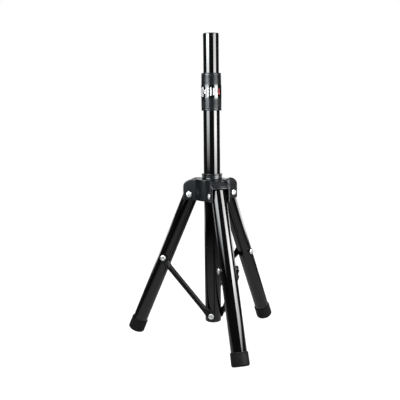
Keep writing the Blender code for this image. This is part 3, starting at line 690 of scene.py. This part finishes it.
piece("band_print_white", bars("band_print_white", range(-4, 3), 17.0, 9.0, -93.0), "white_print",
      "sleeve", (), POLE_M)
piece("band_print_red", bars("band_print_red", range(3, 4), 17.0, 9.0, -93.0), "red_print",
      "sleeve", (), POLE_M)


# ---------------------------------------------------------------- hub
shoulder = []
for i in range(41):
    t = i / 40.0
    a = math.radians(90.0 * t)
    shoulder.append((SHOULDER_R + (FORK_REACH - SHOULDER_R) * (0.62 * math.cos(a) + 0.38 * (1 - t)),
                     SHOULDER_Z + (HUB_HIGH - SHOULDER_Z) * (0.62 * math.sin(a) + 0.38 * t)))
shoulder.reverse()
SHOULDER_U = np.array([0.0] + [p[0] for p in shoulder])
SHOULDER_TOP = np.array([HUB_HIGH] + [p[1] for p in shoulder])
slope = np.gradient(SHOULDER_TOP[1:], SHOULDER_U[1:])
SHOULDER_COS = np.concatenate([[1.0], 1.0 / np.sqrt(1.0 + slope * slope)])
AXES = [(math.cos(math.radians(a)), math.sin(math.radians(a))) for a in LEG_AZIMUTH]
KNOB_AXIS = (math.cos(math.radians(KNOB_AZIMUTH)), math.sin(math.radians(KNOB_AZIMUTH)))


def hub_field(x, y, z):
    r = np.hypot(x, y)
    local = [(x * c + y * s, -x * s + y * c) for c, s in AXES]
    side = r - BARREL_R
    top = z - HUB_HIGH
    for u, v in local:
        arm = smax(smax(np.abs(v) - FORK_HALF, u - FORK_REACH, 2.0), 8.0 - u, 1.0)
        side = smin(side, arm, 5.5)
        uu = np.clip(u, 0.0, FORK_REACH)
        top = np.maximum(top, (z - np.interp(uu, SHOULDER_U, SHOULDER_TOP))
                         * np.interp(uu, SHOULDER_U, SHOULDER_COS))
    body = smax(smax(side, top, 2.2), HUB_LOW + 0.2 - z, 1.8)
    # boss for the clamp screw
    u = x * KNOB_AXIS[0] + y * KNOB_AXIS[1]
    v = -x * KNOB_AXIS[1] + y * KNOB_AXIS[0]
    rr = np.hypot(v, z - KNOB_Z)
    boss = smax(rr - (10.5 - 1.5 * np.clip((u - 40.0) / 5.0, 0, 1)), u - 45.0, 1.2)
    body = smin(body, np.maximum(boss, 30.0 - u), 3.0)
    for u1, v1 in local:
        box = smax(smax(27.0 - u1, np.abs(v1) - (SLOT_HALF - 0.1), 1.0), 364.8 - z, 1.0)
        du, dv, dz = u1 - 27.5, v1, z - 364.2
        k0 = np.sqrt((du / 34.5) ** 2 + (dv / 40.0) ** 2 + (dz / 14.8) ** 2)
        k1 = np.sqrt((du / 34.5 ** 2) ** 2 + (dv / 40.0 ** 2) ** 2 + (dz / 14.8 ** 2) ** 2)
        dome = k0 * (k0 - 1.0) / np.maximum(k1, 1e-6)
        body = smax(body, -smax(box, -dome, 1.2), 1.7)
        front = u1 + v1 * v1 / 95.0 - 63.9
        lip = smax(smax(smax(front, 52.0 - u1, 1.0), np.abs(v1) - (SLOT_HALF + 0.6), 1.0),
                   np.abs(z - 363.6) - 2.3, 2.2)
        body = smin(body, lip, 1.2)
        slot_box = smax(smax(SLOT_FLOOR - u1, np.abs(v1) - SLOT_HALF, 1.5), z - SLOT_ROOF, 1.5)
        body = smax(body, -slot_box, 1.1)
        hole = np.where(u1 > 0, HOLE_R - np.hypot(u1 - PIVOT_R, z - PIVOT_Z), -20.0)
        body = smax(body, hole, 0.6)
    body = smax(body, HUB_BORE - r, 0.9)
    body = smax(body, np.where(u > 0, 4.3 - rr, -20.0), 0.6)
    return body


step = 0.75
mesh = field_mesh("hub_look", hub_field, (-68, -68, HUB_LOW - 3), (68, 68, HUB_HIGH + 3), step, 0.5)
piece("hub_look", mesh, "hub", "hub", ["hub"], POLE_M)

profile = [(POLE_R + GAP, COLLAR_HIGH - 0.6), (POLE_R + 0.9, COLLAR_HIGH),
           (COLLAR_R - 0.7, COLLAR_HIGH), (COLLAR_R, COLLAR_HIGH - 0.7),
           (COLLAR_R, COLLAR_HIGH - 2.2), (COLLAR_R - 0.8, COLLAR_HIGH - 3.0),
           (COLLAR_R - 0.8, COLLAR_LOW + 1.2), (COLLAR_R - 0.2, COLLAR_LOW),
           (HUB_BORE - GAP, COLLAR_LOW), (HUB_BORE - GAP, 334.5), (POLE_R + GAP, 334.5)]
mesh = make_mesh("hub_collar_look", *lathe(fillet(profile, 0.4), 144))
mesh = cut(mesh, [turned(rod(4.3, 12, 30, 32, ALONG_X, (0, 0, KNOB_Z)), KNOB_AZIMUTH)])
piece("hub_collar_look", mesh, "collar", "hub", ["hub_collar"], POLE_M)


# clamp knob and its screw
def knob_field(x, y, z):
    rho, a = np.hypot(y, z), np.arctan2(z, y)
    edge = rho - (16.5 - 3.2 * (0.5 - 0.5 * np.cos(5 * a)))
    body = smax(edge * 0.93, np.abs(x - 54.5) - 6.5, 3.6)
    body = smax(body, 60.0 - np.sqrt((x - 120.0) ** 2 + rho ** 2), 0.8)       # dished face
    neck = smax(rho - 8.0, 45.6 - x, 0.8)
    body = smin(body, np.maximum(neck, x - 50.0), 2.0)
    return smax(body, -smax(rho - 4.2, x - 52.4, 0.5), 0.6)


mesh = field_mesh("clamp_knob_look", knob_field, (43, -19, -19), (63, 19, 19), 0.55, 0.5)
piece("clamp_knob_look", mesh, "hub", "knob", ["clamp_knob"], KNOB_M)
profile = [(0.0, 22.9), (3.4, 22.9)]
z = 23.4
while z < 44.0:
    profile += [(3.9, z), (3.45, z + 0.5)]
    z += 1.0
profile += [(3.9, z), (3.9, 51.7), (3.6, 52.0), (0.0, 52.0)]
mesh = make_mesh("clamp_screw_look", *lathe(profile, 48, closed=False, turn=ALONG_X))
piece("clamp_screw_look", mesh, "plate", "knob", ["clamp_screw"], KNOB_M)


# ---------------------------------------------------------------- fasteners
def pan(seat, side, inner):
    """Pan head profile from the seat outwards, side is +1 or -1."""
    top = seat + HEAD_H * side
    pts = [(inner, seat), (HEAD_R - 0.25, seat), (HEAD_R, seat + 0.25 * side),
           (HEAD_R, seat + 0.8 * side)]
    for i in range(1, 10):
        a = math.radians(90 * i / 10)
        pts.append((HEAD_R - 2.6 * (1 - math.cos(a)), seat + (0.8 + 1.2 * math.sin(a)) * side))
    pts += [(2.0, seat + 2.18 * side), (0.0, top)]
    return pts


def cross(seat, side):
    """Two tapered bars, the shape of a cross recess."""
    tools = []
    top, floor_at = seat + (HEAD_H + 1.0) * side, seat - 0.8 * side
    for quarter in (0, 1):
        pts = []
        for y, long, wide in ((floor_at, 1.6, 0.6), (top, 4.3, 1.25)):
            for sx, sz in ((1, 1), (-1, 1), (-1, -1), (1, -1)):
                p = (sx * long, sz * wide) if not quarter else (sx * wide, sz * long)
                pts.append((p[0], y, p[1]))
        faces = [(0, 1, 2, 3), (7, 6, 5, 4)] + [(i, i + 4, (i + 1) % 4 + 4, (i + 1) % 4)
                                                for i in range(4)]
        tools.append((np.array(pts), faces))
    return tools


def screw_mesh(name, seat, end, shank, recess=True):
    side = 1 if seat > end else -1
    profile = [(0.0, end), (shank - 0.3, end), (shank, end + 0.3 * side)] + pan(seat, side, shank)
    mesh = make_mesh(name, *lathe(profile, 64, closed=False, turn=ALONG_Y))
    return cut(mesh, cross(seat, side), sharp=30) if recess else mesh


seat = FORK_HALF + GAP
hub_bolt = screw_mesh("hub_bolt_look", seat, -seat - 0.8, BOLT_R)
profile = pan(-seat, -1, HOLE_R) + [(0.0, -seat - 1.2), (HOLE_R, -seat - 1.2)]
hub_nut = make_mesh("hub_nut_look", *lathe(profile, 64, closed=True, turn=ALONG_Y))
leg_bolt = screw_mesh("leg_bolt_look", -21.9, BRACE_IN - 0.5, BOLT_R)
brace_nut = screw_mesh("brace_nut_look", BRACE_IN + BRACE_FLAT + GAP, BRACE_IN + 0.1, BOLT_R)
pole_screw = screw_mesh("pole_screw_look", BRACE_IN + BRACE_FLAT + GAP, 10.0, 2.2)
for k in (1, 2, 3):
    m = HINGE_M[k - 1]
    piece("hub_bolt_look_%d" % k, hub_bolt, "plate", "hub",
          ["hub_bolt_%d" % k], m @ Matrix.Rotation(math.radians(20 + 31 * k), 4, "Y"))
    piece("hub_nut_look_%d" % k, hub_nut, "plate", "hub",
          ["hub_nut_%d" % k], m)
    piece("leg_bolt_look_%d" % k, leg_bolt, "plate", "leg_%d" % k,
          ["leg_bolt_%d" % k], LEG_M[k - 1] @ place(0, 0, -MID_BOLT)
          @ Matrix.Rotation(math.radians(12 + 47 * k), 4, "Y"))
    piece("brace_nut_look_%d" % k, brace_nut, "plate", "brace_%d" % k,
          ["brace_nut_%d" % k], BRACE_M[k - 1] @ place(0, 0, BRACE_LENGTH)
          @ Matrix.Rotation(math.radians(8 + 53 * k), 4, "Y"))
    piece("pole_screw_look_%d" % k, pole_screw, "plate", "pole",
          ["pole_screw_%d" % k], SCREW_M[k - 1]
          @ Matrix.Rotation(math.radians(33 + 29 * k), 4, "Y"))


# ---------------------------------------------------------------- legs
profile = [(LEG_R, LEG_ABOVE), (LEG_R, -14.0), (LEG_R, -MID_BOLT + 14), (LEG_R, -MID_BOLT - 14),
           (LEG_R, -LEG_BELOW), (LEG_BORE, -LEG_BELOW), (LEG_BORE, -MID_BOLT - 14),
           (LEG_BORE, -MID_BOLT + 14), (LEG_BORE, -14.0), (LEG_BORE, LEG_ABOVE)]
leg_mesh = make_mesh("leg_tube_look", *lathe(fillet(profile, 0.35), 144))
leg_mesh = cut(leg_mesh, [rod(HOLE_R, -30, 30), rod(HOLE_R, -30, 30, at=(0, 0, -MID_BOLT))])

profile = [(0.0, -22.0), (LEG_BORE - GAP, -22.0), (LEG_BORE - GAP, 7.0), (LEG_BORE - 3.3, 9.6),
           (0.0, 9.8)]
insert_mesh = make_mesh("leg_insert_look", *lathe(fillet(profile, 0.6, closed=False), 96,
                                                  closed=False))
insert_mesh = cut(insert_mesh, [rod(HOLE_R, -30, 30)])

sole = -FOOT_END
profile = [(LEG_R + GAP, -FOOT_START - 0.5), (LEG_R + GAP + 0.45, -FOOT_START),
           (FOOT_R - 0.3, -FOOT_START), (FOOT_R, -FOOT_START - 0.4), (FOOT_R, -FOOT_START - 1.9),
           (FOOT_R - 0.35, -FOOT_START - 2.5), (FOOT_R - 0.25, -FOOT_START - 4.0),
           (FOOT_R, sole + FOOT_ROUND + 3.0)]
profile += arc(FOOT_R - FOOT_ROUND, sole + FOOT_ROUND, FOOT_ROUND, FOOT_ROUND, 0, -90, 14)
profile += [(14.0, sole), (13.6, sole + 0.9), (12.6, sole + 0.9), (12.2, sole), (10.4, sole),
            (10.0, sole + 0.9), (9.0, sole + 0.9), (8.6, sole), (8.0, sole + 1.0),
            (0.0, sole + 1.0), (0.0, -LEG_BELOW - GAP), (LEG_R + GAP, -LEG_BELOW - GAP)]
foot_mesh = make_mesh("foot_look", *lathe(profile, 128, closed=True), sharp=45)


def saddle(name, radius, flat, side):
    profile = [(0.0, 13.0), (radius, 13.0), (radius, flat - 0.35), (radius - 0.35, flat),
               (0.0, flat)]
    if side < 0:
        profile = [(r, -y) for r, y in profile]
    mesh = make_mesh(name, *lathe(profile, 64, closed=False, turn=ALONG_Y))
    verts, faces = lathe([(0.0, -30.0), (LEG_R + GAP + 0.1, -30.0), (LEG_R + GAP + 0.1, 30.0),
                          (0.0, 30.0)], 128, closed=False)
    return cut(mesh, [(verts, faces), rod(HOLE_R, -30, 30)])


spacer_mesh = saddle("leg_spacer_look", 6.9, 21.6, -1)
washer_mesh = saddle("brace_washer_look", 7.6, BRACE_IN - GAP, 1)


# ---------------------------------------------------------------- braces
def ease(a, b, t):
    t = max(0.0, min(1.0, t))
    t = t * t * (3 - 2 * t)
    return a + (b - a) * t


def brace(length, sides=48):
    """Round tube with both ends pressed flat, lofted from sections along Z."""
    stations = []
    for i in range(17):
        a = math.radians(4 + 86 * i / 16)
        stations.append(-BRACE_FLAT_HALF * math.cos(a))
    stations += [2.0, 4.0, 6.0, 8.0, 9.0]
    stations += [9.0 + 19.0 * i / 16 for i in range(1, 17)]
    stations += [length - s for s in reversed(stations)]
    rings, verts, faces = [], [], []
    for s in stations:
        near = min(s, length - s)
        t = (near - 9.0) / 19.0
        half = ease(BRACE_FLAT_HALF, BRACE_TUBE_R, t)
        if near < 0:
            half = math.sqrt(max(BRACE_FLAT_HALF ** 2 - near ** 2, 0.0))
        thick = ease(BRACE_FLAT / 2, BRACE_TUBE_R, t)
        if near < -BRACE_FLAT_HALF + 0.9:                      # rounded rim at the very end
            thick -= 0.45 * (1 - (near + BRACE_FLAT_HALF) / 0.9)
        centre = ease(BRACE_IN + BRACE_FLAT / 2, BRACE_AXIS_N, t)
        power = ease(0.3, 1.0, t)
        ring = []
        for k in range(sides):
            a = 2 * math.pi * (k + 0.5) / sides
            c, d = math.cos(a), math.sin(a)
            if power < 0.999 and half > 1e-3:
                # rounded rectangle: flat faces with a small round along both edges
                x = half * math.copysign(abs(c) ** power, c)
                y = thick * math.copysign(abs(d) ** power, d)
            else:
                x, y = half * c, thick * d
            ring.append(len(verts))
            verts.append((x, centre + y, s))
        rings.append(ring)
    for one, two in zip(rings, rings[1:]):
        for k in range(sides):
            j = (k + 1) % sides
            faces.append((one[k], one[j], two[j], two[k]))
    faces.append(tuple(reversed(rings[0])))
    faces.append(tuple(rings[-1]))
    return verts, faces


brace_mesh = make_mesh("brace_look", *brace(BRACE_LENGTH), sharp=55)
brace_mesh = cut(brace_mesh, [rod(HOLE_R, 10, 40), rod(HOLE_R, 10, 40, at=(0, 0, BRACE_LENGTH))],
                 sharp=55)

for k in (1, 2, 3):
    leg = "leg_%d" % k
    m = LEG_M[k - 1]
    at_bolt = m @ place(0, 0, -MID_BOLT)
    piece("leg_tube_look_%d" % k, leg_mesh, "leg", leg, ["leg_tube_%d" % k], m)
    piece("leg_insert_look_%d" % k, insert_mesh, "nylon", leg, ["leg_insert_%d" % k], m)
    placed = foot_mesh.copy()
    placed.transform(m)
    piece("foot_look_%d" % k, placed, "rubber", leg, ["foot_%d" % k])
    piece("leg_spacer_look_%d" % k, spacer_mesh, "nylon", leg, ["leg_spacer_%d" % k],
          at_bolt)
    piece("brace_washer_look_%d" % k, washer_mesh, "nylon", leg,
          ["brace_washer_%d" % k], at_bolt)
    piece("brace_look_%d" % k, brace_mesh, "brace", "brace_%d" % k,
          ["brace_%d" % k], BRACE_M[k - 1])

# CAD solids that stay, all of them inside the sleeve, the hub or the tubes
for node, material in (("threaded_ferrule", "nylon"), ("collet", "nylon"),
                       ("inner_guide_bush", "nylon"), ("clamp_pad", "nylon")):
    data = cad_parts[node].data
    data.materials.clear()
    data.materials.append(MAT[material])


# ---------------------------------------------------------------- studio
def card(name, corners, strength, ramp=None, colour=(1.0, 1.0, 1.0)):
    """A glowing card that lights the object and shows in its gloss, but not to the camera."""
    mesh = bpy.data.meshes.new(name)
    mesh.from_pydata([tuple(c) for c in corners], [], [(0, 1, 2, 3)])
    obj = bpy.data.objects.new(name, mesh)
    bpy.context.scene.collection.objects.link(obj)
    m = bpy.data.materials.new(name)
    m.use_nodes = True
    t = m.node_tree
    t.nodes.clear()
    out = t.nodes.new("ShaderNodeOutputMaterial")
    glow = t.nodes.new("ShaderNodeEmission")
    glow.inputs["Strength"].default_value = strength
    glow.inputs["Color"].default_value = (*colour, 1)
    t.links.new(glow.outputs[0], out.inputs["Surface"])
    if ramp:
        co = t.nodes.new("ShaderNodeTexCoord").outputs["Object"]
        split = t.nodes.new("ShaderNodeSeparateXYZ")
        t.links.new(co, split.inputs[0])
        stops = t.nodes.new("ShaderNodeMapRange")
        bottom, top = ramp[0][0], ramp[-1][0]
        stops.inputs["From Min"].default_value = bottom
        stops.inputs["From Max"].default_value = top
        t.links.new(split.outputs["Z"], stops.inputs["Value"])
        fade = t.nodes.new("ShaderNodeValToRGB")
        e = fade.color_ramp.elements
        while len(e) < len(ramp):
            e.new(0.5)
        for element, (z, v) in zip(e, ramp):
            element.position = (z - bottom) / (top - bottom)
            element.color = (v, v, v, 1)
        t.links.new(stops.outputs["Result"], fade.inputs["Fac"])
        scale = t.nodes.new("ShaderNodeMath")
        scale.operation = "MULTIPLY"
        scale.inputs[1].default_value = strength
        t.links.new(fade.outputs["Color"], scale.inputs[0])
        t.links.new(scale.outputs[0], glow.inputs["Strength"])
    mesh.materials.append(m)
    obj.visible_camera = False
    obj.visible_shadow = False
    obj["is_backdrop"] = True
    return obj


px, py = POLE_X * MM, POLE_Y * MM


def standing(name, start, end, distance, bottom, top, strength, ramp, colour=(1.0, 1.0, 1.0)):
    """An upright card between two azimuths, counted from the camera towards the right."""
    pts = []
    for azimuth in (start, end):
        a = math.radians(azimuth)
        pts.append((px + distance * math.sin(a), py - distance * math.cos(a)))
    (x0, y0), (x1, y1) = pts
    return card(name, [(x0, y0, bottom), (x1, y1, bottom), (x1, y1, top), (x0, y0, top)],
                strength, ramp, colour)


standing("softbox_left", -29, -69, 0.56, 0.24, 1.15, 42.0,
         [(0.24, 0.0), (0.34, 0.0), (0.42, 0.13), (0.50, 0.29), (0.59, 0.33), (0.67, 0.48),
          (0.74, 0.8), (1.15, 0.7)], (0.955, 0.995, 1.02))
standing("softbox_right", 36, 75, 0.72, 0.19, 1.05, 24.0,
         [(0.19, 0.0), (0.25, 0.42), (0.33, 0.5), (0.40, 0.74), (0.47, 1.0), (0.56, 0.87),
          (0.70, 0.68), (0.95, 0.5), (1.05, 0.1)])
standing("low_rim_left", -117, -143, 0.60, 0.03, 0.34, 4.5,
         [(0.03, 0.0), (0.13, 0.1), (0.19, 1.0), (0.28, 0.8), (0.34, 0.0)])
standing("low_rim_right", 112, 146, 0.60, 0.03, 0.34, 5.5,
         [(0.03, 0.0), (0.16, 0.05), (0.21, 1.0), (0.28, 0.8), (0.34, 0.0)])
card("backdrop", [(px - 0.35, py + 1.0, 0.39), (px + 0.35, py + 1.0, 0.39),
                  (px + 0.35, py + 1.0, 0.86), (px - 0.35, py + 1.0, 0.86)], 1.5)
card("overhead", [(px - 0.7, py - 0.2, 1.75), (px + 0.7, py - 0.2, 1.75),
                  (px + 0.7, py + 1.0, 1.55), (px - 0.7, py + 1.0, 1.55)], 1.0)

# light that the pale floor throws back up
mesh = bpy.data.meshes.new("floor_bounce")
mesh.from_pydata([(px - 1.6, py - 1.9, 0.0006), (px + 1.6, py - 1.9, 0.0006),
                  (px + 1.6, py + 0.3, 0.0006), (px - 1.6, py + 0.3, 0.0006)], [], [(0, 1, 2, 3)])
bounce = bpy.data.objects.new("floor_bounce", mesh)
bpy.context.scene.collection.objects.link(bounce)
m = bpy.data.materials.new("floor_bounce")
m.use_nodes = True
t = m.node_tree
t.nodes.clear()
out = t.nodes.new("ShaderNodeOutputMaterial")
glow = t.nodes.new("ShaderNodeEmission")
co = t.nodes.new("ShaderNodeTexCoord").outputs["Object"]
reach = t.nodes.new("ShaderNodeVectorMath")
reach.operation = "DISTANCE"
reach.inputs[1].default_value = (px, py - 0.1, 0.0006)
t.links.new(co, reach.inputs[0])
fall = t.nodes.new("ShaderNodeMapRange")
fall.interpolation_type = "SMOOTHSTEP"
fall.inputs["From Min"].default_value = 0.15
fall.inputs["From Max"].default_value = 1.35
fall.inputs["To Min"].default_value = 0.62
fall.inputs["To Max"].default_value = 0.0
t.links.new(reach.outputs["Value"], fall.inputs["Value"])
t.links.new(fall.outputs["Result"], glow.inputs["Strength"])
t.links.new(glow.outputs[0], out.inputs["Surface"])
mesh.materials.append(m)
bounce.visible_camera = False
bounce.visible_shadow = False
bounce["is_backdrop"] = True

# floor: pale, bright enough to end in white
mesh = bpy.data.meshes.new("floor")
ring = 96
mesh.from_pydata([(px + 2.4 * math.cos(2 * math.pi * i / ring),
                   py + 2.4 * math.sin(2 * math.pi * i / ring), 0.0) for i in range(ring)], [],
                 [tuple(range(ring))])
floor = bpy.data.objects.new("floor", mesh)
bpy.context.scene.collection.objects.link(floor)
m = bpy.data.materials.new("pale_floor")
m.use_nodes = True
p = m.node_tree.nodes["Principled BSDF"]
p.inputs["Base Color"].default_value = (0.12, 0.12, 0.12, 1)
p.inputs["Roughness"].default_value = 0.9
p.inputs["Specular IOR Level"].default_value = 0.0
p.inputs["Emission Color"].default_value = (1, 1, 1, 1)
p.inputs["Emission Strength"].default_value = 1.0
mesh.materials.append(m)
floor.visible_glossy = False
floor.visible_diffuse = False
floor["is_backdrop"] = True

world = bpy.data.worlds.new("studio")
bpy.context.scene.world = world
world.use_nodes = True
t = world.node_tree
t.nodes.clear()
out = t.nodes.new("ShaderNodeOutputWorld")
mix = t.nodes.new("ShaderNodeMixShader")
path = t.nodes.new("ShaderNodeLightPath")
room, paper = t.nodes.new("ShaderNodeBackground"), t.nodes.new("ShaderNodeBackground")
room.inputs["Color"].default_value = (0.07, 0.07, 0.07, 1)
paper.inputs["Color"].default_value = (1, 1, 1, 1)
t.links.new(path.outputs["Is Camera Ray"], mix.inputs[0])
t.links.new(room.outputs[0], mix.inputs[1])
t.links.new(paper.outputs[0], mix.inputs[2])
t.links.new(mix.outputs[0], out.inputs["Surface"])

scene = bpy.context.scene
scene.view_settings.view_transform = "Standard"
scene.view_settings.look = "None"
scene.view_settings.exposure = 0.0
scene.view_settings.gamma = 1.0

# ---------------------------------------------------------------- camera
yaw, pitch, roll = (math.radians(v) for v in (-1.156583, 8.354258, -0.665849))
forward = Vector((math.sin(yaw) * math.cos(pitch), math.cos(yaw) * math.cos(pitch),
                  -math.sin(pitch)))
right = forward.cross(Vector((0, 0, 1))).normalized()
up = right.cross(forward)
right2 = right * math.cos(roll) + up * math.sin(roll)
up2 = up * math.cos(roll) - right * math.sin(roll)
data = bpy.data.cameras.new("camera")
data.sensor_width = 36.0
data.sensor_fit = "HORIZONTAL"
data.lens = 612.8233 / 400 * 36.0
data.clip_start, data.clip_end = 0.05, 30.0
data.dof.use_dof = False
camera = bpy.data.objects.new("camera", data)
scene.collection.objects.link(camera)
spin = Matrix((right2, up2, -forward)).transposed().to_4x4()
camera.matrix_world = place(POLE_X, POLE_Y - 1397.966, 535.369) @ spin
scene.camera = camera

low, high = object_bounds()
